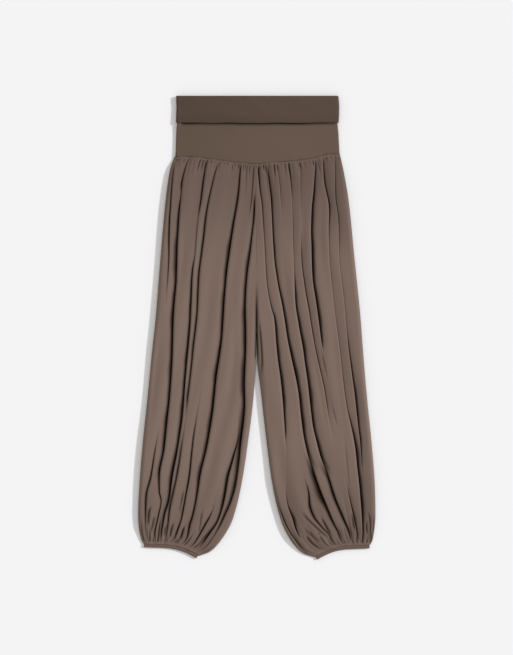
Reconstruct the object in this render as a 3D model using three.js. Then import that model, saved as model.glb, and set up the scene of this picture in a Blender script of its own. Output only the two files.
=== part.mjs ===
import * as THREE from "three";

// Harem pants with a fold-over jersey waistband, laid flat with the front up.
// Millimetres. +Z is up, +Y runs to the waist, +X to the wearer's left, and the surface it lies on is z = 0.
// Left and right are the wearer's.

// Driving dimensions
const bandTop = 510; // folded top edge of the waistband
const flapEdge = 449; // free edge of the turned-down band at the sides
const flapDip = 3; // how far that edge sags at the middle
const flapReach = 26; // length over which the layers settle below the flap
const bandThick = 1.8; // two plies of jersey
const bandAir = 0.4; // between the band and its turned-down part
const legThick = 2.0; // front of a leg, measured straight down, with the hidden returns of its pleats
const backThick = 1.8;
const seamGap = 0.3; // between two pieces at a seam
const seamLevel = 2.0; // height of the side seams at the waist and at the cuffs
const bandSpans = 16; // spans across the flat part of the band
const bandRound = 0.12; // share of the band's width taken by the turn at each side seam
const deepest = 4.15; // no fold of the front goes lower, so that it clears the back
const cuffTall = 7;
const cuffThick = 1.7;
const cuffBow = 10.5; // how far the laid cuff curves from straight
const cuffSteps = 24; // spans along each side of the laid cuff
const cuffRibs = 17;
const cuffRib = 0.25; // height of the cuff's ribs
const centreDip = 0.8; // the centre seam lies this far below the bands beside it
const shoulder = 0.2; // share of a fold's depth that is reached beside it
const gatherSpread = 0.12; // half the width of a short gather, as a share of the band between two folds

const named = (columns) => (row) =>
  Object.fromEntries(columns.map((column, i) => [column, row[i]]));

// Waist seam, as it dips towards the centre front
const waistSeam = [
  [-182, 376.5],
  [-150, 376],
  [-120, 374],
  [-88, 369.5],
  [-40, 363.5],
  [0, 360.5],
  [40, 364],
  [90, 368],
  [122, 372.5],
  [144, 378],
  [160, 382],
  [184, 382.5],
].map(named(["at", "y"]));

// Side outline of the waistband: the wearer's right and left edges from the top down
const bandSides = [
  [340, -180, 185],
  [392, -177.5, 182],
  [422, -176.6, 180.4],
  [449, -176.3, 179.8],
  [480, -176.2, 181.2],
  [510, -176, 179.6],
].map(named(["at", "right", "left"]));

// Outline of each leg from the waist (0) to the cuff (1): the outseam, then the centre seam and inseam
const edgeColumns = ["at", "outX", "outY", "inX", "inY"];
const rightEdges = [
  [0, -180, 376.5, 0, 360.5],
  [0.03, -189, 352, 0, 342],
  [0.1, -199.8, 281, 0, 278],
  [0.25, -211.2, 154, 0, 154],
  [0.4, -221.5, 26, 0, 26],
  [0.5, -230.3, -57, -0.7, -64],
  [0.6, -238.5, -141, -6, -145],
  [0.75, -251.6, -268, -21, -268],
  [0.85, -258, -352, -34.5, -352],
  [0.92, -260.4, -411, -53, -423],
  [0.96, -258.6, -441, -77, -466],
  [0.985, -254, -464, -103, -493],
  [1, -249.5, -474.5, -126, -502],
].map(named(edgeColumns));
const leftEdges = [
  [0, 183, 382.5, 0, 360.5],
  [0.03, 190, 352, 0, 342],
  [0.1, 202.4, 281, 0, 278],
  [0.25, 215.4, 154, 0, 154],
  [0.4, 228.4, 26, 0, 26],
  [0.5, 234.7, -57, 1.2, -64],
  [0.6, 241.8, -141, 10, -145],
  [0.75, 254.4, -268, 24, -268],
  [0.85, 260.4, -352, 36, -352],
  [0.92, 261.6, -411, 54, -425],
  [0.96, 259, -444, 76, -469],
  [0.985, 255, -467, 102, -496],
  [1, 250.5, -477, 127, -505],
].map(named(edgeColumns));

// The front's folds, as percent of the way from the outseam to the centre at eight stations down the leg.
// A fold runs from one share of the length to another, and fades between two more.
const stations = { waist: 0, seat: 0.1, hip: 0.25, thigh: 0.4, knee: 0.55, calf: 0.7, shin: 0.85, cuff: 1 };
const foldColumns = [...Object.keys(stations), "from", "to", "fadeFrom", "fadeTo", "depth", "half"];
const rightFolds = [
  [3.5, 5, 8, 8.6, 7, 6, 4.5, 3.5, 0, 0.44, 0, 0, 3, 4],
  [9, 11, 12.6, 13, 13, 12, 9, 9, 0.74, 1, 0, 0, 2.5, 3.5],
  [15, 15.5, 17, 17.4, 19.3, 20.3, 19, 18, 0, 0.94, 0, 0, 3.6, 4.5],
  [37.5, 37.6, 34.9, 33.3, 33.4, 33, 30.2, 28, 0, 0.97, 0, 0, 3.6, 5],
  [52, 46.6, 42.6, 39.7, 38.8, 37.5, 35.5, 36, 0, 0.96, 0.6, 0.72, 3, 3.5],
  [70.5, 70, 60, 55, 50, 45.5, 46.9, 52, 0, 1, 0.14, 0.68, 2.6, 3.5],
  [79.2, 78, 70.7, 67, 63.9, 61.5, 57.6, 70, 0, 1, 0, 0, 3.6, 5],
  [87, 85, 79, 77, 76, 76, 75, 81, 0, 1, 0.08, 0.86, 2.8, 4],
  [93.5, 92, 86, 83, 83, 84.5, 85.8, 90, 0, 1, 0.17, 0.7, 3.4, 5],
  [97.2, 96.6, 92, 89.1, 90.1, 93.1, 94.1, 95.5, 0.12, 0.98, 0, 0, 3.6, 5],
].map(named(foldColumns));
const leftFolds = [
  [5, 10.8, 12.8, 12.6, 10.7, 10, 9, 7, 0, 0.82, 0, 0, 3, 4],
  [17.4, 20.7, 22.9, 21.6, 19.4, 17.2, 14.5, 14, 0, 1, 0, 0, 3.2, 4],
  [27.4, 37.5, 43, 39.6, 33.7, 28, 23.3, 23, 0, 1, 0.5, 0.88, 3.6, 5],
  [44.5, 49.7, 51.4, 47.4, 40.3, 35.9, 32, 31.5, 0, 0.73, 0, 0, 2.6, 3.5],
  [58.6, 59.8, 58.8, 57.6, 54, 50.5, 41.6, 40, 0, 1, 0, 0, 3.3, 4.5],
  [71.5, 71, 69, 65, 59.5, 57, 47.8, 47, 0, 1, 0.1, 0.9, 2.4, 3.5],
  [82.5, 81.5, 78.6, 72.1, 64.7, 63.8, 53.9, 54, 0, 1, 0, 0, 3.6, 5.5],
  [89, 87, 84.2, 78, 71.5, 71.5, 65, 64.5, 0, 1, 0.08, 0.82, 2.6, 3.5],
  [94.6, 92.2, 89.9, 84, 79, 80.3, 78, 75.5, 0, 1, 0.74, 0.88, 3.4, 5],
  [97.8, 96.6, 95, 91, 87.5, 87, 88.2, 89, 0.72, 1, 0, 0, 3, 4],
].map(named(foldColumns));

// Heights down a leg: the crowns of the bands, the side seams, and the short gathers at waist and cuff
const heights = [
  [0, 4.3, seamLevel, 0.1],
  [0.02, 5.5, 2.5, 1.1],
  [0.06, 7.0, 3, 1.7],
  [0.12, 7.6, 3, 0.7],
  [0.2, 7.7, 3, 0],
  [0.84, 7.7, 3, 0],
  [0.92, 7.4, 3, 1.6],
  [0.97, 5.9, 2.6, 1.4],
  [1, 4.3, seamLevel, 0.1],
].map(named(["at", "crown", "level", "gather"]));

const frontRows = [0, 0.02, 0.05, 0.09, 0.15, 0.23, 0.31, 0.39, 0.46, 0.53, 0.61, 0.7, 0.79, 0.86, 0.905, 0.94, 0.965, 0.985, 1];
const backRows = [0, 0.02, 0.06, 0.15, 0.31, 0.39, 0.46, 0.53, 0.61, 0.7, 0.79, 0.86, 0.905, 0.94, 0.965, 0.985, 1];
const backFlats = 14; // columns across the part of a back leg that rests

// How a wall turns at the edge of a leg, by the distance from the edge in millimetres: rise is the share of
// the way from the seam's level to the leg's face, and hug how far the inner face lies beside the outer one
const curlColumns = ["inset", "rise", "hug"];
const frontCurl = [
  [0, 0, 1],
  [1.2, 0.55, 0.6],
  [4, 0.9, 0.2],
].map(named(curlColumns));
const backCurl = [
  [0, 0, 1],
  [1.2, 0.58, 0.6],
  [4, 0.94, 0.2],
  [9, 1, 0],
].map(named(curlColumns));

const mix = (a, b, share) => a + (b - a) * share;
const ramp = (low, high, x) => THREE.MathUtils.smoothstep(x, low, high);

// A column of a table at any place, by a cubic that never overshoots its rows
function along(table, column, at) {
  const last = table.length - 2;
  const k = Math.min(Math.max(table.findIndex((row) => row.at >= at) - 1, 0), last);
  const slope = (i) => (table[i + 1][column] - table[i][column]) / (table[i + 1].at - table[i].at);
  const tangent = (i) => {
    if (i === 0) return slope(0);
    if (i === table.length - 1) return slope(i - 1);
    const [before, after] = [slope(i - 1), slope(i)];
    return before * after <= 0 ? 0 : (2 * before * after) / (before + after);
  };
  const span = table[k + 1].at - table[k].at;
  const u = THREE.MathUtils.clamp((at - table[k].at) / span, 0, 1);
  const startPull = u * (1 - u) * (1 - u) * span * tangent(k);
  const endPull = u * u * (u - 1) * span * tangent(k + 1);
  return mix(table[k][column], table[k + 1][column], u * u * (3 - 2 * u)) + startPull + endPull;
}

// A closed solid between an outer and an inner grid of points, joined round the rim. A ring closes on itself.
function wall(outer, inner, ring = false) {
  const [rows, columns] = [outer.length, outer[0].length];
  const points = [...outer.flat(), ...inner.flat()];
  const index = [];
  const quad = (a, b, c, d) => index.push(a, b, c, a, c, d);
  const out = (i, j) => i * columns + (j % columns);
  const inn = (i, j) => rows * columns + out(i, j);
  const spans = ring ? columns : columns - 1;
  for (let j = 0; j < spans; j++) {
    for (let i = 0; i < rows - 1; i++) {
      quad(out(i, j), out(i + 1, j), out(i + 1, j + 1), out(i, j + 1));
      quad(inn(i, j), inn(i, j + 1), inn(i + 1, j + 1), inn(i + 1, j));
    }
    quad(out(0, j), out(0, j + 1), inn(0, j + 1), inn(0, j));
    quad(out(rows - 1, j + 1), out(rows - 1, j), inn(rows - 1, j), inn(rows - 1, j + 1));
  }
  for (let i = 0; i < rows - 1 && !ring; i++) {
    quad(out(i + 1, 0), out(i, 0), inn(i, 0), inn(i + 1, 0));
    quad(out(i, columns - 1), out(i + 1, columns - 1), inn(i + 1, columns - 1), inn(i, columns - 1));
  }
  if (volume(points, index) < 0) index.reverse();
  const geometry = new THREE.BufferGeometry().setFromPoints(points).setIndex(index);
  geometry.computeVertexNormals();
  return geometry;
}

function volume(points, index) {
  let sum = 0;
  for (let i = 0; i < index.length; i += 3) {
    const [a, b, c] = [points[index[i]], points[index[i + 1]], points[index[i + 2]]];
    sum += a.dot(new THREE.Vector3().crossVectors(b, c)) / 6;
  }
  return sum;
}

// The laid curve where a leg meets its cuff
function cuffLine(leg, share) {
  const end = leg.edges.at(-1);
  const bow = cuffBow * Math.sin(Math.PI * Math.max(share, 0) ** 1.3);
  return new THREE.Vector3(mix(end.outX, end.inX, share), mix(end.outY, end.inY, share) + bow, 0);
}

// A point of a leg's outline sheet, share of the way across and down, before it gets its height
function legPlace(leg, share, down) {
  const edge = (column) => along(leg.edges, column, down);
  const inX = edge("inX") + (leg.side * seamGap) / 2;
  const place = new THREE.Vector3(mix(edge("outX"), inX, share), mix(edge("outY"), edge("inY"), share), 0);
  const waistX = mix(leg.edges[0].outX, leg.edges[0].inX, share);
  const waistY = mix(leg.edges[0].outY, leg.edges[0].inY, share);
  const bow = (along(waistSeam, "y", waistX) - waistY) * (1 - ramp(0, 0.12, down));
  const cuff = (cuffLine(leg, share).y - mix(leg.edges.at(-1).outY, leg.edges.at(-1).inY, share)) * ramp(0.84, 1, down);
  place.y += bow + cuff + (down === 0 ? -seamGap / 2 : 0) + (down === 1 ? seamGap / 2 : 0);
  return place;
}

// The direction of a row across the leg, from the outseam to the centre
function acrossLeg(leg, share, down) {
  const from = legPlace(leg, Math.max(share - 0.01, 0), down);
  return legPlace(leg, Math.min(share + 0.01, 1), down).sub(from).normalize();
}

function legWidth(leg, down) {
  return legPlace(leg, 0, down).distanceTo(legPlace(leg, 1, down));
}

// How far the inner edge has come down from the top of the leg to the inseam, past the crotch
const split = (down) => ramp(0.3, 0.5, down);

function foldDepth(fold, down) {
  const start = fold.from > 0 ? ramp(fold.from, fold.from + 0.06, down) : 1;
  const end = fold.to < 1 ? 1 - ramp(fold.to - 0.06, fold.to, down) : 1;
  const fade = ramp(fold.fadeFrom - 0.04, fold.fadeFrom + 0.02, down) - ramp(fold.fadeTo, fold.fadeTo + 0.06, down);
  return fold.depth * start * end * (fold.fadeTo > 0 ? 1 - fade : 1);
}

function foldShare(fold, down) {
  const path = Object.entries(stations).map(([name, at]) => ({ at, share: fold[name] / 100 }));
  return along(path, "share", down);
}

// The columns of points across a front at one place down it: edges that curl, folds with their
// shoulders, and between two folds a pair of crowns with one short gather
function frontColumns(leg, down) {
  const width = legWidth(leg, down);
  const gather = along(heights, "gather", down);
  const folds = leg.folds.map((fold) => ({
    share: foldShare(fold, down),
    drop: foldDepth(fold, down),
    half: fold.half / width,
  }));
  const columns = [];
  const add = (share, drop = 0, rise = 1, hug = 0) => columns.push({ share, drop, rise, hug });
  const beside = (fold, room) => Math.min(fold.half, 0.28 * room);
  const [first, last] = [folds[0], folds.at(-1)];
  const room = 1 - last.share;
  for (const { inset, rise, hug } of frontCurl) add(Math.min(inset / width, inset * 0.12 * first.share), 0, rise, hug);
  add(first.share - beside(first, first.share), shoulder * first.drop);
  folds.forEach((fold, i) => {
    add(fold.share, fold.drop);
    if (i === folds.length - 1) return;
    const next = folds[i + 1];
    const gap = next.share - fold.share;
    const middle = (fold.share + next.share) / 2;
    add(fold.share + beside(fold, gap), shoulder * fold.drop);
    add(middle - gatherSpread * gap);
    add(middle, gather);
    add(middle + gatherSpread * gap);
    add(next.share - beside(next, gap), shoulder * next.drop);
  });
  add(last.share + beside(last, room), shoulder * last.drop);
  for (const { inset, rise, hug } of frontCurl.toReversed()) {
    add(1 - Math.min(inset / width, inset * 0.12 * room), 0, rise, -hug);
  }
  return columns;
}

// The columns across a back: its edges turned up to the seams, and flat between them
function backColumns(leg, down) {
  const width = legWidth(leg, down);
  const edge = backCurl.map(({ inset, rise, hug }) => ({ share: inset / width, drop: 0, rise, hug }));
  const start = edge.at(-1).share;
  const flats = Array.from({ length: backFlats }, (_, i) => ({
    share: mix(start, 1 - start, (i + 1) / (backFlats + 1)),
    drop: 0,
    rise: 1,
    hug: 0,
  }));
  const far = edge.map((column) => ({ ...column, share: 1 - column.share, hug: -column.hug }));
  return [...edge, ...flats, ...far.reverse()];
}

// A leg panel: its outer face, and an inner face one wall away from it. At the edges the inner face
// lies beside the outer one instead, so that the wall turns to the seam. Face 1 is the front, -1 the back.
function legPanel(leg, face, rows, columnsAt, thick) {
  const grids = { outer: [], inner: [] };
  for (const down of rows) {
    const level = along(heights, "level", down) + (face * seamGap) / 2;
    const crown = face > 0 ? along(heights, "crown", down) : 0;
    const flush = face > 0 ? Math.max(crown - centreDip, deepest) : 0;
    const row = { outer: [], inner: [] };
    for (const { share, drop, rise, hug } of columnsAt(leg, down)) {
      const turned = hug < 0 ? split(down) : 1;
      const surface = face > 0 ? Math.max(crown - drop, deepest) : 0;
      const place = legPlace(leg, share, down);
      place.z = mix(mix(flush, level, turned), surface, rise);
      const within = place.clone().addScaledVector(acrossLeg(leg, share, down), thick * hug * turned);
      within.z -= face * thick * (1 - Math.abs(hug * turned));
      row.outer.push(place);
      row.inner.push(within);
    }
    grids.outer.push(row.outer);
    grids.inner.push(row.inner);
  }
  return wall(grids.outer, grids.inner);
}

// The waistband's profile from the waist seam up, over the top fold and down to the free edge:
// y, and the distance of the wall's middle from the middle of the flattened tube
function bandProfile(x) {
  const near = bandAir / 2 + bandThick / 2;
  const far = near + bandThick + bandAir;
  const bend = (far - near) / 2;
  const foldY = bandTop - bend - bandThick / 2;
  const seamY = along(waistSeam, "y", x) + seamGap / 2;
  const edgeY = flapEdge - flapDip * Math.cos((Math.PI * x) / (2 * bandSides[0].left));
  const up = [0, 0.25, 0.42, 0.53, 0.64, 0.8, 1].map((share) => ({
    y: mix(seamY, foldY, share),
    from: near,
    ny: 0,
    nd: 1,
  }));
  const turn = [45, 90, 135].map((degrees) => {
    const angle = THREE.MathUtils.degToRad(degrees);
    const [sin, cos] = [Math.sin(angle), Math.cos(angle)];
    return { y: foldY + bend * sin, from: near + bend - bend * cos, ny: -sin, nd: cos };
  });
  const flap = [1, 0.6, 0.25, 0].map((share) => ({ y: mix(edgeY, foldY, share), from: far, ny: 0, nd: -1 }));
  return [...up, ...turn, ...flap];
}

// Middle height of the flattened waistband: on the surface below the flap, and lifted by the flap above that
const flapLow = flapEdge - flapDip;
const bandLevel = (y) => mix(seamLevel, 2 * bandThick + 1.5 * bandAir, ramp(flapLow - flapReach, flapLow, y));

// The share of the way across the flat part of the band, for a share of its whole width
const bandAcross = (share) => (share - bandRound) / (1 - 2 * bandRound);

// A point at a distance from the middle of the flattened band tube: share 0 and 1 are the side seams
function bandPlace(share, y, from, face) {
  const reach = bandLevel(y);
  const right = along(bandSides, "right", y) + reach;
  const left = along(bandSides, "left", y) - reach;
  const inset = Math.min(share, 1 - share);
  if (inset >= bandRound) {
    return new THREE.Vector3(mix(right, left, bandAcross(share)), y, reach + face * from);
  }
  const clear = Math.asin(seamGap / 2 / from);
  const angle = mix(clear, Math.PI / 2, inset / bandRound);
  const [centre, side] = share < 0.5 ? [right, -1] : [left, 1];
  return new THREE.Vector3(centre + side * from * Math.cos(angle), y, reach + face * from * Math.sin(angle));
}

// Half of the waistband, front (face 1) or back (face -1), as one wall that turns over at the top
function band(face) {
  const turn = [0, 1 / 3, 2 / 3].map((share) => share * bandRound);
  const flat = Array.from({ length: bandSpans + 1 }, (_, i) => mix(bandRound, 1 - bandRound, i / bandSpans));
  const shares = [...turn, ...flat, ...turn.map((share) => 1 - share).reverse()];
  const [start, end] = [waistSeam[0].at, waistSeam.at(-1).at];
  const outer = [];
  const inner = [];
  for (const share of shares) {
    const x = mix(start, end, THREE.MathUtils.clamp(bandAcross(share), 0, 1));
    const faceAt = (offset) =>
      bandProfile(x).map(({ y, from, ny, nd }) => bandPlace(share, y + ny * offset, from + nd * offset, face));
    outer.push(faceAt(-bandThick / 2));
    inner.push(faceAt(bandThick / 2));
  }
  return wall(outer, inner);
}

// An elastic cuff, flattened: a ring that runs along the laid curve on top, turns, and runs back below
function cuff(leg) {
  const length = cuffLine(leg, 0).distanceTo(cuffLine(leg, 1));
  const round = seamLevel / length;
  const run = (up) =>
    Array.from({ length: cuffSteps + 1 }, (_, i) => ({
      share: mix(round, 1 - round, up > 0 ? i / cuffSteps : 1 - i / cuffSteps),
      up,
      ahead: 0,
    }));
  const turn = (share, from) =>
    [30, 60, 90, 120, 150].map((degrees) => {
      const angle = THREE.MathUtils.degToRad(from + degrees);
      return { share, up: Math.cos(angle), ahead: Math.sin(angle) };
    });
  const loop = [...run(1), ...turn(1 - round, 0), ...run(-1), ...turn(round, 180)];
  const faceAt = (from, rib) =>
    [0, 0.5, 1].map((drop) =>
      loop.map(({ share, up, ahead }) => {
        const forward = cuffLine(leg, share + 0.01).sub(cuffLine(leg, share - 0.01)).normalize();
        const hem = new THREE.Vector3(-leg.side * forward.y, leg.side * forward.x, 0);
        const furrow = up > 0 ? rib * (1 - Math.cos(2 * Math.PI * cuffRibs * share)) : 0;
        return cuffLine(leg, share)
          .addScaledVector(hem, seamGap / 2 + cuffTall * drop)
          .addScaledVector(forward, from * ahead)
          .setZ(seamLevel + up * (from - furrow));
      }),
    );
  return wall(faceAt(seamLevel, cuffRib), faceAt(seamLevel - cuffThick, 0), true);
}

const crepe = new THREE.MeshStandardMaterial({ color: 0x7c6b61, roughness: 0.85, metalness: 0 });
const jersey = new THREE.MeshStandardMaterial({ color: 0x675649, roughness: 0.9, metalness: 0 });

const pants = new THREE.Group();
function add(name, geometry, material) {
  const mesh = new THREE.Mesh(geometry, material);
  mesh.name = name;
  pants.add(mesh);
}

add("waistband_front", band(1), jersey);
add("waistband_back", band(-1), jersey);
const legs = {
  right: { side: -1, edges: rightEdges, folds: rightFolds },
  left: { side: 1, edges: leftEdges, folds: leftFolds },
};
for (const [name, leg] of Object.entries(legs)) {
  add(`leg_front_${name}`, legPanel(leg, 1, frontRows, frontColumns, legThick), crepe);
  add(`leg_back_${name}`, legPanel(leg, -1, backRows, backColumns, backThick), crepe);
  add(`cuff_${name}`, cuff(leg), crepe);
}

const box = new THREE.Box3().setFromObject(pants);
const centre = box.getCenter(new THREE.Vector3());
pants.position.set(-centre.x, -centre.y, -box.min.z);

export default pants;
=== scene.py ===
import math

import bpy
import numpy as np
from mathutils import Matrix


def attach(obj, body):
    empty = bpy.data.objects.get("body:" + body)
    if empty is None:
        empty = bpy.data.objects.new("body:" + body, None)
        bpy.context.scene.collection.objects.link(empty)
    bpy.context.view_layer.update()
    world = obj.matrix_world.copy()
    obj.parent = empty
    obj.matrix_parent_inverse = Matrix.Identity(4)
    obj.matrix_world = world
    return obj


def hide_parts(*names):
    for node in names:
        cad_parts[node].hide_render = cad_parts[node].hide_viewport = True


# Harem pants laid flat, front up. Drawn in millimetres, +Y to the waist, +X to the wearer's left leg,
# and turned into metres when a mesh is made.

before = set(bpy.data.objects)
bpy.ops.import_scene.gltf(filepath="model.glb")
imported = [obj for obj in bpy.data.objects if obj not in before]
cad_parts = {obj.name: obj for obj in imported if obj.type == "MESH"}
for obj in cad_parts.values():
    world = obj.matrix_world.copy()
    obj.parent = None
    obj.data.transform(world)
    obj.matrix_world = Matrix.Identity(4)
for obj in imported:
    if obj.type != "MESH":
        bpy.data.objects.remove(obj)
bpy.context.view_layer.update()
scene = bpy.context.scene

drawing = {"shiftX": -0.648, "shiftY": 0.541, "scale": 0.001}  # the outline's own centre lies at the origin

# Camera, light and floor
studio = {
    "pictureHeight": 1.441,  # metres seen from top to bottom
    "cameraHeight": 6.0,
    "cameraAt": (-0.0007, 0.0009),
    "sensor": 36.0,
    "farthestSeen": 40,
    "keyStrength": 2.25,
    "keyElevation": 30.0,
    "keyTurn": 17.0,  # degrees from +X towards +Y
    "keySoftness": 4,  # degrees that the light is wide
    "keyColour": (0.935, 0.95, 1.0),
    "skyStrength": 0.635,
    "skyColour": (1.0, 0.99, 0.95),
    "floorReach": 6.0,
    "floorLevel": -0.0004,
    "floorColour": (0.937, 0.937, 0.957),
    "floorRoughness": 0.9,
    "floorGloss": 0.1,
}


def makeStudio(p):
    lens = bpy.data.cameras.new("overhead")
    lens.sensor_fit = "VERTICAL"
    lens.sensor_height = p["sensor"]
    lens.lens = p["sensor"] * p["cameraHeight"] / p["pictureHeight"]
    lens.clip_end = p["farthestSeen"]
    camera = bpy.data.objects.new("overhead", lens)
    camera.location = (*p["cameraAt"], p["cameraHeight"])
    scene.collection.objects.link(camera)
    scene.camera = camera

    key = bpy.data.lights.new("key", "SUN")
    key.energy = p["keyStrength"]
    key.angle = math.radians(p["keySoftness"])
    key.color = p["keyColour"]
    lamp = bpy.data.objects.new("key", key)
    lamp.rotation_euler = (0, math.radians(90 - p["keyElevation"]), math.radians(p["keyTurn"]))
    scene.collection.objects.link(lamp)

    world = bpy.data.worlds.new("soft sky")
    world.use_nodes = True
    sky = world.node_tree.nodes["Background"]
    sky.inputs["Color"].default_value = (*p["skyColour"], 1)
    sky.inputs["Strength"].default_value = p["skyStrength"]
    scene.world = world
    scene.view_settings.view_transform = "Standard"

    reach, z = p["floorReach"], p["floorLevel"]
    corners = [(-reach, -reach, z), (reach, -reach, z), (reach, reach, z), (-reach, reach, z)]
    mesh = bpy.data.meshes.new("floor")
    mesh.from_pydata(corners, [], [(0, 1, 2, 3)])
    floor = bpy.data.objects.new("floor", mesh)
    scene.collection.objects.link(floor)
    pale = bpy.data.materials.new("pale floor")
    pale.use_nodes = True
    shader = pale.node_tree.nodes["Principled BSDF"]
    shader.inputs["Base Color"].default_value = (*p["floorColour"], 1)
    shader.inputs["Roughness"].default_value = p["floorRoughness"]
    shader.inputs["Specular IOR Level"].default_value = p["floorGloss"]
    mesh.materials.append(pale)


makeStudio(studio)
print("studio ready")


# Shader helper: a socket with arithmetic
class Wire:
    def __init__(self, tree, socket=None):
        self.tree = tree
        self.socket = socket

    def node(self, kind, settings=(), **inputs):  # i0, i1 and so on are sockets by number
        made = self.tree.nodes.new(kind)
        for name, value in dict(settings).items():
            setattr(made, name, value)
        for name, value in inputs.items():
            slot = made.inputs[int(name[1:]) if name[0] == "i" else name]
            if isinstance(value, Wire):
                self.tree.links.new(value.socket, slot)
            else:
                slot.default_value = value
        return made

    def out(self, kind, output=0, settings=(), **inputs):
        return Wire(self.tree, self.node(kind, settings, **inputs).outputs[output])

    def maths(self, operation, a, b):
        return self.out("ShaderNodeMath", 0, {"operation": operation}, i0=a, i1=b)

    def __add__(self, other):
        return self.maths("ADD", self, other)

    def __radd__(self, other):
        return self.maths("ADD", other, self)

    def __mul__(self, other):
        return self.maths("MULTIPLY", self, other)

    def __rmul__(self, other):
        return self.maths("MULTIPLY", other, self)

    def blend(self, first, second):  # colours, by this wire from 0 to 1
        made = self.node("ShaderNodeMix", {"data_type": "RGBA"}, i0=self)
        for slot, colour in ((made.inputs[6], first), (made.inputs[7], second)):
            if isinstance(colour, Wire):
                self.tree.links.new(colour.socket, slot)
            else:
                slot.default_value = (*colour, 1)
        return Wire(self.tree, made.outputs[2])

    def bands(self, direction, scale, wander, at):
        settings = {"bands_direction": direction}
        return self.out("ShaderNodeTexWave", "Fac", settings, Vector=at, Scale=scale, Distortion=wander)

    def cloud(self, scale, detail, at):
        return self.out("ShaderNodeTexNoise", "Fac", Vector=at, Scale=scale, Detail=detail)

    def field(self, name):  # an attribute of the piece
        return self.out("ShaderNodeAttribute", "Fac", {"attribute_name": name})


def waveScale(step):  # of a Wave node, for bands that lie step metres apart
    return 2 * math.pi / step / 20


def startCloth(name):
    material = bpy.data.materials.new(name)
    material.use_nodes = True
    wire = Wire(material.node_tree)
    return material, wire, wire.out("ShaderNodeTexCoord", "UV"), wire.out("ShaderNodeTexCoord", "Object")


def finishCloth(material, p, colour, unevenness, height):
    shader = material.node_tree.nodes["Principled BSDF"]
    rough = unevenness * p["roughSpread"] + (p["roughness"] - p["roughSpread"] / 2)
    relief = height.out("ShaderNodeBump", "Normal", Strength=p["relief"], Distance=p["reliefHeight"], Height=height)
    for slot, wire in (("Base Color", colour), ("Roughness", rough), ("Normal", relief)):
        material.node_tree.links.new(wire.socket, shader.inputs[slot])
    shader.inputs["Sheen Weight"].default_value = p["sheen"]
    shader.inputs["Sheen Roughness"].default_value = p["sheenRoughness"]
    shader.inputs["Specular IOR Level"].default_value = p["gloss"]


# Woven crepe: two crossing yarn waves with a pebbled noise, a slow change of tone, painted shade next to the waist
# seam and the cuffs, and painted shade near black in the folds and creases
crepeLook = {
    "colour": (0.216, 0.154, 0.127),
    "tone": (0.196, 0.139, 0.115),  # where the slow change of tone is at its darkest
    "slow": (7.0, 3.0),  # scale and detail of that change
    "gatherShade": (0.152, 0.107, 0.088),  # painted shade next to the waist seam and the cuffs, where the gathers bunch
    "depth": (0.004, 0.0015, 0.001),  # painted shade, near black, in the folds and creases
    "yarn": 0.00055,  # metres from yarn to yarn
    "yarnHeight": 0.3,  # beside the pebbles' 1
    "wander": 0.6,
    "pebble": (900.0, 2.0),
    "relief": 0.25,
    "reliefHeight": 0.0002,
    "roughness": 0.82,
    "roughSpread": 0.1,
    "sheen": 0.01,
    "sheenRoughness": 0.5,
    "gloss": 0.02,
}


def makeCrepe(p):
    material, wire, uv, place = startCloth("brown crepe")
    warp = wire.bands("X", waveScale(p["yarn"]), p["wander"], uv)
    weft = wire.bands("Y", waveScale(p["yarn"]), p["wander"], uv)
    pebble = wire.cloud(*p["pebble"], uv)
    slow = wire.cloud(*p["slow"], place)
    # painted shade: the near attribute darkens the cloth next to the waist and the cuffs, and the fold attribute
    # takes it near black in the folds
    cloth = wire.field("near").blend(slow.blend(p["colour"], p["tone"]), p["gatherShade"])
    colour = wire.field("fold").blend(cloth, p["depth"])
    finishCloth(material, p, colour, pebble, warp * p["yarnHeight"] + weft * p["yarnHeight"] + pebble)
    return material


# Jersey: fine upright wales, with the turned-down part showing the cloth's darker inner face, painted shade towards
# the wearer's right and the flap's edge, and painted shadow below the flap's edge and between the ribs of a cuff
jerseyLook = {
    "colour": (0.149, 0.1045, 0.079),
    "innerFace": (0.106, 0.074, 0.057),
    "slowTone": (0.89, 0.95),  # share of the outer and the inner face's colour left where the tone is darkest
    "slow": (9.0, 3.0),
    "near": 0.80,  # share of the colour left where shade is painted: at the flap's edge, and towards the wearer's right
    "depth": (0.004, 0.0015, 0.001),  # painted shadow below the flap's edge, and painted shade between the ribs of a cuff
    "wale": 0.0011,  # metres from wale to wale
    "waleWander": 0.3,
    "loopsToWales": 1.4,
    "loopWander": 0.5,
    "loopHeight": 0.4,  # beside the wales' 1
    "relief": 0.2,
    "reliefHeight": 0.0002,
    "roughness": 0.85,
    "roughSpread": 0.08,
    "sheen": 0.01,
    "sheenRoughness": 0.5,
    "gloss": 0.02,
}


def dimmed(colour, share):
    return tuple(c * share for c in colour)


def makeJersey(p, name="brown jersey"):
    material, wire, uv, place = startCloth(name)
    wales = wire.bands("X", waveScale(p["wale"]), p["waleWander"], uv)
    loops = wire.bands("Y", waveScale(p["wale"]) * p["loopsToWales"], p["loopWander"], uv)
    slow = wire.cloud(*p["slow"], place)
    turned = wire.field("turned")
    face = turned.blend(p["colour"], p["innerFace"])
    darker = turned.blend(dimmed(p["colour"], p["slowTone"][0]), dimmed(p["innerFace"], p["slowTone"][1]))
    # painted shade: the near attribute dims the colour, and the fold attribute takes it near black
    paintedDim = turned.blend(dimmed(p["colour"], p["near"]), dimmed(p["innerFace"], p["near"]))
    cloth = wire.field("near").blend(slow.blend(face, darker), paintedDim)
    colour = wire.field("fold").blend(cloth, p["depth"])
    finishCloth(material, p, colour, slow, wales + loops * p["loopHeight"])
    return material


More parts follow.
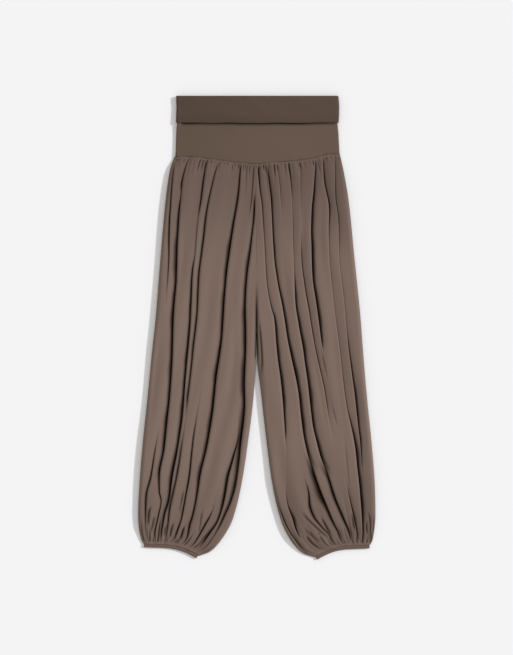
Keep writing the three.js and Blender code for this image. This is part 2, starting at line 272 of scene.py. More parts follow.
crepe = makeCrepe(crepeLook)
jersey = makeJersey(jerseyLook)
cuffColours = {"colour": (0.178, 0.124, 0.098), "innerFace": (0.15, 0.10, 0.08)}
cuffCloth = makeJersey({**jerseyLook, **cuffColours}, "brown cuff")
print("materials ready")


# Number helpers
def smooth(low, high, x):  # eases from 0 to 1 between two values
    t = np.clip((x - low) / (high - low), 0, 1)
    return t * t * (3 - 2 * t)


def mix(a, b, t):
    return a + (b - a) * t


def through(xs, ys, at):  # a cubic through the points that never overshoots them
    xs, ys, at = np.asarray(xs, float), np.asarray(ys, float), np.asarray(at, float)
    span = np.diff(xs)
    slope = np.diff(ys) / span
    before, after = slope[:-1], slope[1:]
    same = before * after > 0
    middle = np.where(same, 2 * before * after / np.where(same, before + after, 1), 0)
    tangent = np.concatenate([slope[:1], middle, slope[-1:]])
    k = np.clip(np.searchsorted(xs, at) - 1, 0, len(xs) - 2)
    u = np.clip((at - xs[k]) / span[k], 0, 1)
    pull = u * (1 - u) ** 2 * span[k] * tangent[k] + u * u * (u - 1) * span[k] * tangent[k + 1]
    return mix(ys[k], ys[k + 1], u * u * (3 - 2 * u)) + pull


def slowWaves(a, b, seed):  # a sum of a few long sine waves over two directions, within about -1 to 1
    waves = np.random.default_rng(seed)
    total = np.zeros(np.broadcast(a, b).shape)
    for _ in range(5):
        fa, fb, phase = waves.uniform(0.5, 2.2), waves.uniform(0.6, 3.0), waves.uniform(0, 6.28)
        total += np.sin(fa * a * 6.28 + fb * b * 6.28 + phase)
    return total / 4


def rise(distance, reach):  # a quarter ellipse from 0 at the edge to 1
    t = np.clip(distance / reach, 0, 1)
    return np.sqrt(np.clip(1 - (1 - t) ** 2, 0, 1))


def gridPiece(name, x, y, z, uv, fields, material, thick, ring=False, flip=False):
    # a grid of points into a mesh of quads, with its fields as attributes and a wall, thick millimetres, behind it
    rows, columns = x.shape
    points = np.stack([x + drawing["shiftX"], y + drawing["shiftY"], z], axis=-1) * drawing["scale"]
    index = np.arange(rows * columns).reshape(rows, columns)
    right = np.roll(index, -1, axis=1) if ring else index[:, 1:]
    left = index if ring else index[:, :-1]
    quads = np.stack([left[:-1], right[:-1], right[1:], left[1:]], axis=-1).reshape(-1, 4)
    if flip:
        quads = quads[:, ::-1]
    mesh = bpy.data.meshes.new(name)
    mesh.from_pydata(points.reshape(-1, 3), [], quads)
    for field, values in fields.items():
        layer = mesh.attributes.new(field, "FLOAT", "POINT")
        layer.data.foreach_set("value", np.ascontiguousarray(values, dtype=np.float32).ravel())
    layer = mesh.uv_layers.new(name="UVMap")
    corner = quads.ravel()
    flat = np.stack([uv[0].ravel()[corner], uv[1].ravel()[corner]], axis=-1) * drawing["scale"]
    layer.data.foreach_set("uv", flat.astype(np.float32).ravel())
    mesh.polygons.foreach_set("use_smooth", np.ones(len(quads), bool))
    mesh.materials.append(material)
    mesh.update()
    piece = bpy.data.objects.new(name, mesh)
    scene.collection.objects.link(piece)
    wall = piece.modifiers.new("wall", "SOLIDIFY")
    wall.thickness = thick * drawing["scale"]
    wall.offset = -1
    wall.use_rim = True
    return piece


# Outlines of the legs, in millimetres, by the share of the way down from the waist seam to the cuff
waistSeam = {
    "x": [-182, -150, -120, -88, -40, 0, 40, 90, 122, 144, 160, 184],
    "y": [376.5, 376, 374, 369.5, 363.5, 360.5, 364, 368, 372.5, 378, 382, 382.5],
}
outlineDown = [0, 0.03, 0.1, 0.25, 0.4, 0.5, 0.6, 0.75, 0.85, 0.92, 0.96, 0.985, 1]
rightOutline = {
    "outX": [-180, -189, -199.8, -211.2, -221.5, -230.3, -238.5, -251.6, -258, -260.4, -258.6, -254, -249.5],
    "outY": [376.5, 352, 281, 154, 26, -57, -141, -268, -352, -411, -441, -464, -474.5],
    "inX": [0, 0, 0, 0, 0, -0.9, -6, -21, -34.5, -53, -77, -103, -126],
    "inY": [360.5, 342, 278, 154, 26, -64, -145, -268, -352, -423, -466, -493, -502],
}
leftOutline = {
    "outX": [183, 190, 202.4, 215.4, 228.4, 234.7, 241.8, 254.4, 260.4, 261.6, 259, 255, 250.5],
    "outY": [382.5, 352, 281, 154, 26, -57, -141, -268, -352, -411, -444, -467, -477],
    "inX": [0, 0, 0, 0, 0, 1.1, 10, 24, 36, 54, 76, 102, 127],
    "inY": [360.5, 342, 278, 154, 26, -64, -145, -268, -352, -425, -469, -496, -505],
}
bows = {
    "waistEnd": 0.12,  # share of the way down where the waist seam's bow has gone
    "cuffStart": 0.84,  # and where the cuff's bow begins
    "cuffBow": 10.5,
    "cuffLean": 1.3,  # above 1 the highest place of the cuff's bow lies nearer to the inner edge
    "centreGap": 0.04,
}


def cuffBend(share):  # how far the laid cuff bows up from straight
    return bows["cuffBow"] * np.sin(np.pi * np.maximum(share, 0) ** bows["cuffLean"])


def legPlace(leg, share, down):
    # straight across from the outseam to the inner edge, bowed to the waist seam above and to the cuff below
    outline = leg["outline"]
    outX, outY, inX, inY = (through(outlineDown, outline[c], down) for c in ("outX", "outY", "inX", "inY"))
    inX = inX + leg["side"] * bows["centreGap"]
    x, y = mix(outX, inX, share), mix(outY, inY, share)
    topX = mix(outline["outX"][0], outline["inX"][0], share)
    topY = mix(outline["outY"][0], outline["inY"][0], share)
    seamY = through(waistSeam["x"], waistSeam["y"], topX)
    y = y + (seamY - topY) * (1 - smooth(0, bows["waistEnd"], down))
    return x, y + cuffBend(share) * smooth(bows["cuffStart"], 1, down)


def legWidth(leg, down):  # straight across, in millimetres
    ax, ay = legPlace(leg, 0.0, down)
    bx, by = legPlace(leg, 1.0, down)
    return np.hypot(bx - ax, by - ay)


# The folds, from the outseam inwards, drawn on squares of 2.2 mm, x to the right and y down. Each point of
# a line also holds the fold's strength there: 1 is a full fold, and above 1 only the painted shade in it widens. The
# side
# next to the centre laps over the other, and with over=-1 the other way round. turn: the y at which this changes.
# soft:
# how far the covered side slopes, in millimetres.
squares = {"size": 2.2, "x": 256.8, "y": 328.0}  # x and y of the origin
rightFolds = [
    dict(line=[(173.5, 165, 0.3), (172.2, 173, 0.6), (170, 200, 0.7), (168.5, 235, 0.65), (167, 272, 0.4),
               (164.8, 302, 0.1), (160, 360, 0), (154, 420, 0), (145, 470, 0), (139.5, 506, 0), (139, 530, 0.2)],
         soft=4),
    dict(line=[(179, 163, 0.3), (175.5, 200, 0), (172.5, 250, 0), (169.5, 300, 0), (165, 360, 0), (159, 420, 0),
               (153.6, 452, 0.4), (150, 478, 0.7), (146, 495, 0.7), (145.3, 508, 0.6), (144.5, 530, 0.3)],
         soft=4),
    dict(line=[(185, 166, 0.6), (181, 184, 0.85), (179.9, 194, 0.4), (178.7, 209, 0.85), (177.6, 232, 1),
               (176.5, 262, 1.05), (175.4, 284, 1), (174, 302, 1), (172, 350, 1.05), (170.6, 378, 1),
               (169.1, 401, 1), (166.4, 424, 1), (163.9, 447, 1), (159.5, 472, 0.9), (158.7, 491, 0.55),
               (160.2, 502, 0.5), (158, 514, 0.6), (154, 533, 0.55)], soft=7),
    dict(line=[(205, 166, 0.6), (201.4, 192, 0.85), (199.4, 206, 0.7), (197, 217, 0.3), (193.4, 255, 0.3),
               (191.6, 272, 0.7), (190.8, 302, 0.8), (188, 342, 0.9), (185.1, 378, 0.95), (181.3, 420, 1),
               (176.9, 452, 1), (172, 476, 1.05), (168, 502, 0.95), (164, 516, 0.8), (160.7, 534, 0.5)],
         soft=8),
    dict(line=[(217.7, 163, 0.5), (210.3, 189, 0.7), (205.7, 213, 0.75), (202.7, 239, 0.75), (198.2, 280, 0.7),
               (195.6, 321, 0.7), (191.6, 359, 0.6), (187.2, 394, 0.5), (184.2, 420, 0.1), (180, 451, 0.4),
               (176, 476, 0.55), (171.5, 499, 0.45), (168.5, 514, 0.5), (165.5, 534, 0.5)], soft=4),
    dict(line=[(232, 164, 0.3), (228, 190, 0), (222, 235, 0), (215, 290, 0), (208, 350, 0), (198, 400, 0.1),
               (192, 440, 0.5), (188.8, 478, 0.7), (184.8, 497, 0.55), (181.5, 514, 0.6), (176.5, 531, 0.5)],
         soft=6),
    dict(line=[(240, 166, 0.75), (238, 192, 0.95), (234.5, 217, 1), (229.8, 247, 1.05), (226.4, 271, 1.05),
               (223.5, 310, 1), (220.8, 342, 1), (216.1, 378, 1.05), (211.5, 416, 1.05), (207, 445, 1.1),
               (199, 479, 1.0), (194.8, 503, 0.75), (190.5, 522, 0.75), (186.7, 537, 0.5)], soft=9),
    dict(line=[(246, 168, 0.5), (243.5, 200, 0.1), (238, 250, 0), (234, 310, 0), (231, 370, 0), (225, 420, 0),
               (218, 470, 0), (212, 508, 0.2), (204.5, 525, 0.7), (196.5, 538, 0.5)], soft=6),
    dict(line=[(252.4, 172, 0.5), (250.1, 203, 0.5), (247, 220, 0.1), (243, 250, 0), (240, 300, 0),
               (239, 350, 0), (238, 397, 0.1), (236.4, 440, 0.45), (231.8, 462, 0.9), (227.4, 480, 1.05),
               (224.5, 497, 0.95), (217.3, 520, 0.8), (208, 535, 0.95), (201, 544, 0.7)], soft=8),
    dict(line=[(252.6, 172, 0), (253.6, 190, 0.1), (254, 203, 0.6), (253.4, 216, 0.75), (251.4, 235, 0.75),
               (249.1, 255, 0.95), (246.2, 280, 1), (245.1, 306, 1.05), (245.2, 342, 1.1), (244.4, 378, 1.15),
               (243.8, 413, 1.15), (241, 440, 1.05), (238.3, 465, 1.1), (235, 485, 1.0), (230.7, 500, 0.95),
               (221, 522, 0.6), (212, 537, 0.3)], soft=6),
]
leftFolds = [
    dict(line=[(336.7, 162, 0.5), (337.6, 201, 0.6), (339.5, 214, 0.5), (342.4, 269, 0.25), (348.3, 324, 0.3),
               (353.2, 374, 0.7), (357.2, 404, 0.85), (360.8, 436, 0.8), (362.8, 457, 0.45), (366, 480, 0.05),
               (369, 505, 0), (371, 521, 0.5), (371.2, 536, 0.5)], soft=10),
    dict(line=[(324.6, 160, 0.7), (326.1, 184, 0.95), (330.3, 205, 0.8), (330.9, 231, 0.4), (332.1, 269, 0.25),
               (337.3, 313, 0.25), (343.3, 364, 0.3), (348.9, 408, 0.4), (352, 424, 0.65), (357, 452, 0.95),
               (360.5, 486, 1), (362.6, 514, 1), (364.2, 533, 0.6)], soft=10),
    dict(line=[(317.3, 163, 0.75), (315.8, 183, 0.95), (313.2, 209, 1.05), (312.3, 240, 1.0), (313.4, 271, 1),
               (317.5, 304, 1), (322.2, 338, 0.85), (325.5, 353, 0.1), (331, 390, 0), (338, 430, 0),
               (345, 470, 0), (352.2, 503, 0.5), (355.3, 517, 0.7), (358.3, 532, 0.55)], soft=6),
    dict(line=[(302.6, 167, 0.5), (302.6, 190, 0.35), (303, 225, 0.1), (303.5, 259, 0.45), (306.5, 288, 0.5),
               (312, 319, 0.5), (318.6, 356, 0.45), (326.5, 392, 0.45), (332.1, 424, 0.15), (339, 465, 0),
               (347, 505, 0.1), (353, 533, 0.35)], soft=9),
    dict(line=[(290.3, 168, 0.6), (292.9, 186, 0.6), (294, 200, 0.3), (296, 269, 0.3), (296.6, 297, 0.8),
               (299.9, 324, 0.95), (305, 356, 1), (309.8, 388, 1.05), (313, 420, 1), (319.3, 448, 1),
               (326.2, 470, 1.1), (335, 499, 1), (342, 516, 0.9), (348.7, 533, 0.55)], soft=8, turn=468),
    dict(line=[(279.7, 170, 0.5), (282, 189, 0.45), (284, 220, 0.05), (286, 269, 0), (290, 310, 0),
               (297, 356, 0), (304.5, 400, 0), (309, 440, 0), (319.5, 475, 0), (332, 508, 0), (342, 533, 0.4)],
         soft=8),
    dict(line=[(270, 170, 0.6), (271.3, 184, 0.8), (272.5, 198, 0.85), (273.6, 223, 0.75), (275.7, 255, 0.7),
               (279.3, 284, 0.75), (284.8, 313, 0.85), (289.5, 342, 1), (294.6, 368, 1.05), (300.6, 400, 1.05),
               (304.2, 432, 1.0), (309.4, 458, 1.05), (316.7, 480, 1.25), (325, 497, 1.4), (330.4, 510, 1.15),
               (336.7, 532, 0.6)], soft=6, turn=462),
    dict(line=[(264.4, 169, 0.6), (266.5, 182, 0.35), (268, 220, 0), (271, 260, 0), (276, 300, 0),
               (284, 350, 0), (292, 400, 0), (296, 440, 0), (302, 475, 0), (307.8, 494, 0.6), (309.5, 506, 0.9),
               (313.5, 517, 0.8), (320, 526, 0.6), (329, 536, 0.4)], over=-1, soft=6),
    dict(line=[(259.6, 169, 0.85), (261.3, 189, 0.8), (263.9, 206, 0.6), (266, 240, 0.35), (269.1, 284, 0.35),
               (273.5, 310, 0.5), (275.3, 317, 0.75), (277.5, 343, 0.9), (281.1, 372, 1), (283.9, 402, 0.95),
               (286.7, 430, 0.6), (288, 445, 0.1), (287.5, 475, 0.05), (289.5, 505, 0.4), (294, 519, 0.95),
               (297.3, 529, 0.7), (304, 540, 0.1)], soft=5),
    dict(line=[(257.8, 175, 0.1), (259.5, 210, 0), (261, 250, 0), (263, 300, 0), (266, 350, 0), (270, 400, 0),
               (272, 440, 0), (275, 470, 0), (279.5, 500, 0.2), (286, 522, 0.55), (296, 539, 0.55)], soft=6),
]
# Short creases and wide soft troughs that start and end within a leg: a line, and its half width in millimetres
rightCreases = [
    ([(151.5, 505, 0.5), (149.3, 514, 0.8), (148.7, 527, 0.4)], 2.2),
    ([(154.6, 515, 0.5), (153.2, 524, 0.7), (150.6, 534, 0.4)], 2.2),
    ([(183.8, 488, 0.2), (182.4, 497, 0.6), (180.4, 507, 0.5), (179, 516, 0.2)], 1.8),
    ([(202.6, 507, 0.2), (201.2, 519, 0.6), (199.8, 529, 0.5), (198, 537, 0.2)], 2.0),
    ([(173.6, 522, 0.4), (171.4, 531, 0.8), (169.8, 539, 0.4)], 2.0),
    ([(180.5, 521, 0.4), (177.5, 531, 0.8), (175, 538, 0.5)], 2.2),
    ([(184.5, 526, 0.4), (182.6, 533, 0.9), (180.4, 540, 0.5)], 2.2),
    ([(166.8, 524, 0.4), (165.4, 531, 0.6), (164.4, 538, 0.3)], 2.0),
    ([(212.5, 527, 0.5), (207.5, 534, 0.7), (201, 541, 0.4)], 2.2),
    ([(213, 440, 0.3), (211, 470, 0.6), (206, 500, 0.5), (201, 520, 0.2)], 14),
    ([(184, 200, 0.4), (183, 250, 0.6), (181, 300, 0.3)], 10),
    ([(214, 230, 0.3), (208, 300, 0.5), (202, 360, 0.3)], 13),
    ([(236, 290, 0.3), (234, 350, 0.5), (229, 410, 0.3)], 9),
    ([(161, 300, 0.3), (156, 370, 0.6), (150, 430, 0.3)], 9),
]
leftCreases = [
    ([(257.6, 316, 0.3), (260.8, 338, 0.7), (262.2, 360, 0.7), (260.2, 380, 0.3)], 2.4),
    ([(301.3, 512, 0.7), (312.7, 524, 0.8), (324.7, 535, 0.7), (331, 540, 0.4)], 2.2),
    ([(320.7, 516, 0.4), (326, 526, 0.8), (332.5, 537, 0.5)], 2.2),
    ([(306, 535, 0.7), (310, 541, 0.9), (316.7, 547, 0.7), (323, 550, 0.4)], 2.4),
    ([(303, 527, 0.4), (312, 536, 0.6), (322, 543, 0.4)], 2.2),
    ([(366, 521, 0.4), (366.4, 528, 0.6), (366.8, 535, 0.4)], 2.0),
    ([(350.6, 512, 0.4), (352.6, 522, 0.7), (354.2, 532, 0.4)], 2.0),
    ([(345, 522, 0.3), (347.5, 530, 0.5), (349.5, 537, 0.3)], 2.0),
    ([(374, 515, 0.3), (373.8, 525, 0.6), (373, 535, 0.4)], 2.0),
    ([(281, 440, 0.4), (282, 470, 0.9), (288, 500, 1.0), (297, 522, 0.6)], 13),
    ([(300, 480, 0.3), (306, 500, 0.5), (316, 520, 0.4)], 9),
    ([(322, 190, 0.3), (321, 230, 0.5), (322, 270, 0.3)], 7),
    ([(303, 200, 0.3), (303.6, 240, 0.6), (304, 262, 0.4)], 7),
    ([(332, 300, 0.4), (338, 380, 0.7), (345, 440, 0.4)], 12),
    ([(283, 250, 0.3), (287, 290, 0.6), (292, 320, 0.3)], 8),
    ([(266, 400, 0.3), (268, 440, 0.5), (272, 480, 0.3)], 8),
    ([(320.6, 350, 0.3), (324, 364, 0.45), (327, 378, 0.3)], 1.9),
    ([(330.4, 402, 0.2), (334, 414, 0.4), (337.6, 427, 0.2)], 1.9),
    ([(344.6, 437, 0.2), (347, 464, 0.35), (349, 490, 0.3)], 1.9),
    ([(312, 345, 0.2), (319, 385, 0.5), (326, 425, 0.3)], 6),
]
legs = {
    "right": {"side": -1, "outline": rightOutline, "folds": rightFolds, "creases": rightCreases, "cuffShade": 0.45},
    "left": {"side": 1, "outline": leftOutline, "folds": leftFolds, "creases": leftCreases, "cuffShade": 0.6},
}
for leg in legs.values():
    leg["drawn"] = leg
# the backs have the folds of the other leg's front, so that the two sides of a leg differ
backLegs = {
    "right": {**legs["right"], "folds": leftFolds, "drawn": legs["left"]},
    "left": {**legs["left"], "folds": rightFolds, "drawn": legs["right"]},
}


def onLeg(leg, line):
    # share and down of drawn points: the nearest place on a coarse net, then Newton's method
    points = np.array([(x, y) for x, y, _ in line])
    x = (points[:, 0] - squares["x"]) * squares["size"]
    y = (squares["y"] - points[:, 1]) * squares["size"]
    s, d = (g.ravel() for g in np.meshgrid(np.linspace(0, 1, 61), np.linspace(0, 1, 161)))
    nx, ny = legPlace(leg, s, d)
    near = np.argmin((nx[None, :] - x[:, None]) ** 2 + (ny[None, :] - y[:, None]) ** 2, axis=1)
    share, down = s[near], d[near]
    for _ in range(6):
        step = np.where(down > 0.5, -1e-3, 1e-3)
        aside = np.where(share > 0.5, -1e-3, 1e-3)
        px, py = legPlace(leg, share, down)
        ax, ay = legPlace(leg, share + aside, down)
        bx, by = legPlace(leg, share, down + step)
        ax, ay, bx, by = (ax - px) / aside, (ay - py) / aside, (bx - px) / step, (by - py) / step
        size = ax * by - ay * bx
        ex, ey = x - px, y - py
        share, down = (
            np.clip(share + (ex * by - ey * bx) / size, 0, 1),
            np.clip(down + (ax * ey - ay * ex) / size, 0, 1),
        )
    down = np.maximum.accumulate(down + 1e-5 * np.arange(len(down)))
    return share, down, np.array([deep for _, _, deep in line])


def foldPaths(leg, down, p):
    # way, strength, lie and softness of each fold at each height. A fold stays clear of the one before it, and is
    # shifted by the part of it that its lip covers.
    paths, before = [], np.zeros_like(down)
    width = legWidth(leg, down)
    for k, fold in enumerate(leg["folds"]):
        share, at, deep = onLeg(leg["drawn"], fold["line"])
        over = fold.get("over", 1)
        lie = over * np.ones_like(down)
        if "turn" in fold:
            bend = float(np.interp(fold["turn"], [y for _, y, _ in fold["line"]], at))
            lie = over * (1 - 2 * smooth(bend - p["turnReach"], bend + p["turnReach"], down))
        way = through(at, share, down) + lie * p["shift"] / width
        way = np.clip(np.maximum(way, before + p["clear"]), 0, p["farthest"])
        before = way
        # a little unevenness along the fold, and less of it next to the waist
        way = way + np.sin(31 * down + 2.1 * k) * smooth(0.02, 0.2, down) * p["waver"] / width
        strength = through(at, deep, down) * mix(p["waistStrength"], 1, smooth(0, p["waistReach"], down))
        strength = strength * (1 + 0.05 * np.sin(43 * down + 1.7 * k) + 0.03 * np.sin(97 * down + 2.9 * k))
        paths.append((way, strength, lie, fold["soft"]))
    return paths


legLook = {
    "length": 880.0,
    "pattern": (330.0, 900.0),  # width and length of the cloth's own pattern
    "thick": 0.6,
    "rows": (26, 56, 60),  # of the mesh, next to the waist, in the middle and next to the cuff
    "rowEnds": (0.07, 0.84),  # share of the way down between these three parts
    "perBand": 30,  # columns of the mesh from fold to fold
    "crowding": 1.5,  # of the columns towards the folds
    "crown": 12.0,  # height of the bands between the folds
    "seamCrown": 5.3,  # and at the waist seam and the cuff
    "dome": 1.0,  # slow waves in that height
    "domeWaves": (3.0, 1.6),
    "level": 3.0,  # height of a leg's edges
    "endLevel": 2.1,  # and at the waist seam and the cuff
    "lowest": 3.5,  # bottom of the folds
    "endLowest": 2.4,
    "edgeLift": 0.1,
    "edge": 9.0,  # how far a leg's edge takes to curl up from the seam
    "crotch": 0.54,  # share of the way down
    "crotchReach": 0.07,
    "crotchEdge": 17,  # the curl of the inner edge there
    "parting": (0.30, 0.52),  # shares of the way down in which the centre seam turns into two inner edges
    "seamDip": 0.95,  # height at the centre seam, as a share of the crown
    "seamReach": 9,
    "seamShut": 4,  # no fold opens the centre seam within this
    "ends": {"waist": (0, 0.045), "cuff": (0.945, 1)},  # where the crown rises from and falls to the ends
    "opened": {"waist": (0.003, 0.018), "cuff": (0.965, 0.995)},  # where the folds open and close
    "openLeast": 0.4,  # share of a fold's depth that is left next to the ends
    "endDrop": 0.15,  # and at the very ends
    "endLap": 0.1,
    "held": 5,  # no lap moves a leg's edge within this
    "foldDepth": 8.0,
    "lip": 1.7,  # how quickly the lapping edge turns down
    "overlap": 3.2,
    "shift": 4.2,
    "waver": 0.5,
    "clear": 0.012,  # share of the width between two folds
    "farthest": 0.985,
    "turnReach": 0.03,
    "waistStrength": 0.62,
    "waistReach": 0.24,
    "core": (2.0, 7.0),  # half width of the painted shade in a fold: at no strength, and added at full strength
    # strength of the faint painted shade beyond that core, on the covered side
    "shadeVeil": 0.27,
    "creaseDepth": 3.6,
    "troughDepth": 2.4,
    "creaseWide": 4,  # anything wider is a trough, which gets no painted shade
    "seamEndShade": {"wide": 3.2, "from": (0.3, 0.4), "to": (0.495, 0.51)},  # painted shade along the centre seam where it ends
    # strengths of each kind of painted shade
    "shades": {"seamEndShade": 0.95, "crease": 0.85, "gather": 0.8, "pucker": 0.45, "all": 0.99},
    "gatherShadeDepths": (0.6, 3.2),  # depths between which a gather gets painted shade
    "puckerShadeDepths": (0.3, 1.1),
    "shadeReach": {"waist": 0.3, "cuff": (0.72, 0.95)},  # where painted shade darkens the cloth towards the ends
    "waistGathers": {"spacing": 8.5, "depth": 3.2, "wide": (1.1, 1.9), "reach": (16, 70), "start": 2.5},
    "cuffGathers": {"spacing": 6.5, "depth": 3.4, "wide": (1.1, 1.9), "reach": (22, 95), "start": 3.5},
    "finePuckers": {"spacing": 4.4, "depth": 1.0, "wide": (1.0, 1.6), "reach": (9, 20), "start": 0.5},
    "gatherForm": {
        "fadeIn": 7, "fadeFrom": 0.3, "mostShort": 1.8, "leastDepth": 0.35, "lean": 0.02, "leanLength": 110,
    },
}
backLook = {
    **legLook,
    "thick": 0.5,
    "rows": (22, 52, 40),
    "perBand": 16,
    "level": 2.8,
    "endLevel": 1.9,
    "edge": 5.0,
    "foldDepth": 1.9,
    "highest": 2.0,  # of the folds above the surface
    "gatherShare": 0.4,  # of the front's gathers and laps
    "lapShare": 0.4,
    "endDrop": 0.3,
    "endLap": 0.25,
    "shades": {"gather": 0.7, "all": 0.85},
    "gatherShadeDepths": (0.6, 2.8),
    "shadeReach": {"waist": 0.3, "cuff": (0.84, 0.97)},
    "cuffShade": 0.45,
}


def columnPlaces(paths, down, p):
    # share of the way across for each column: columns follow the folds and crowd towards them,
    # distance = half the gap times a power of the way to its middle
    ways = [np.zeros_like(down), *(way for way, _, _, _ in paths), np.ones_like(down)]
    count = p["perBand"] // 2
    half = (np.arange(1, count + 1) / count) ** p["crowding"] / 2
    steps = np.concatenate([half, (1 - half[::-1])[1:], [1.0]])
    places = [ways[0][:, None]]
    for a, b in zip(ways[:-1], ways[1:]):
        places.append(mix(a[:, None], b[:, None], steps[None, :]))
    return np.concatenate(places, axis=1)


def legGrid(leg, p):
    waist, middle, cuff = p["rows"]
    first, last = p["rowEnds"]
    down = np.concatenate([
        np.linspace(0, first, waist, endpoint=False),
        np.linspace(first, last, middle, endpoint=False),
        np.linspace(last, 1, cuff),
    ])
    paths = foldPaths(leg, down, p)
    share = columnPlaces(paths, down, p)
    down = np.broadcast_to(down[:, None], share.shape)
    width = legWidth(leg, down[:, :1]) * np.ones_like(share)
    return paths, share, down, width


def foldFields(paths, share, width, p):
    # drop: how far the folds go down. lap: how far their lapping edges move over. The third field is the shade
    # painted in them.
    # On the covered side the drop is exp(-(distance / (1.25 soft))^1.15) and the painted shade exp(-(distance /
    # core)^4), or the thin veil of painted shade beyond it. On the lapping side they are exp(-(distance / lip)^1.5)
    # and exp(-(distance / (0.35 lip))^2). Drops add up as their fourth powers do.
    powers, lap, paintedShade = np.zeros_like(share), np.zeros_like(share), np.zeros_like(share)
    for way, deep, lie, soft in paths:
        way, deep, lie = way[:, None], deep[:, None], lie[:, None]
        strong = np.minimum(deep, 1)
        away = (share - way) * width
        drop, shade = 0, 0
        for side in (-1, 1):
            part = np.clip(0.5 + 0.5 * side * lie, 0, 1)
            inside, outside = np.maximum(-side * away, 0), np.maximum(side * away, 0)
            covered = np.exp(-(inside / (1.25 * soft)) ** 1.15)
            lapping = np.exp(-(outside / p["lip"]) ** 1.5)
            core = np.exp(-(inside / (p["core"][0] + p["core"][1] * deep ** 2)) ** 4)
            shadeVeil = p["shadeVeil"] * np.exp(-inside / (0.9 * soft))
            # the rim: painted shade along the lapping edge
            rim = np.exp(-(outside / (0.35 * p["lip"])) ** 2)
            drop = drop + part * np.where(side * away < 0, covered, lapping)
            shade = shade + part * np.where(side * away < 0, np.maximum(core, shadeVeil), rim)
        powers += (p["foldDepth"] * strong * drop) ** 4
        reach = np.maximum(away * np.sign(lie), 0) / p["lip"]
        lap -= lie * p["overlap"] * strong * reach * np.exp(1 - reach)
        paintedShade = np.maximum(paintedShade, smooth(0.02, 0.6, deep) * shade)
    return powers ** 0.25, lap, paintedShade


def gathers(share, down, width, seed, end, p, kind):
    # short puckers from one end of a leg: troughs of the form depth * exp(-(distance / wide)^2) that fade out
    puckers = np.random.default_rng(seed)
    look, form = p[kind], p["gatherForm"]
    count = int(round(width[0 if end == "waist" else -1, 0] / look["spacing"]))
    total = np.zeros_like(share)
    gone = (down if end == "waist" else 1 - down) * p["length"]
    for k in range(count):
        way = (k + puckers.uniform(0.1, 0.9)) / count
        lean = puckers.uniform(-form["lean"], form["lean"])
        reach = mix(*look["reach"], puckers.uniform(0, 1) ** form["mostShort"])
        fade = smooth(look["start"], look["start"] + form["fadeIn"], gone)
        fade = fade * (1 - smooth(form["fadeFrom"] * reach, reach, gone))
        size = look["depth"] * puckers.uniform(form["leastDepth"], 1.0)
        away = (share - way - lean * gone / form["leanLength"]) * width
        total = np.maximum(total, size * fade * np.exp(-(away / puckers.uniform(*look["wide"])) ** 2))
    return total


def endGathers(share, down, width, seed, p):
    return np.maximum(gathers(share, down, width, seed, "waist", p, "waistGathers"),
                      gathers(share, down, width, seed + 1, "cuff", p, "cuffGathers"))


def loneCreases(leg, share, down, width, p):
    # troughs along drawn lines: depth * exp(-(distance / wide)^2), tapering to nothing at both ends
    total, paintedShade = np.zeros_like(share), np.zeros_like(share)
    for line, wide in leg["creases"]:
        ways, at, deep = onLeg(leg, line)
        run = (down - at[0]) / (at[-1] - at[0])
        taper = smooth(-0.12, 0.25, run) * (1 - smooth(0.75, 1.12, run))
        way, strength = through(at, ways, down), through(at, deep, down) * taper
        # a slanting crease is as wide as an upright one
        tilt = np.gradient(way[:, 0], down[:, 0])[:, None] * width / p["length"]
        away = (share - way) * width / np.sqrt(1 + tilt ** 2)
        hollow = np.exp(-(away / wide) ** 2)
        sharp = wide < p["creaseWide"]
        total += strength * hollow * p["creaseDepth" if sharp else "troughDepth"]
        # a narrow crease also gets painted shade
        if sharp:
            paintedShade = np.maximum(paintedShade, smooth(0.05, 0.9, strength) * hollow)
    return total, paintedShade


def clearOfEnds(down, part):  # 0 at both ends of a leg and 1 between them
    return smooth(*part["waist"], down) * (1 - smooth(*part["cuff"], down))


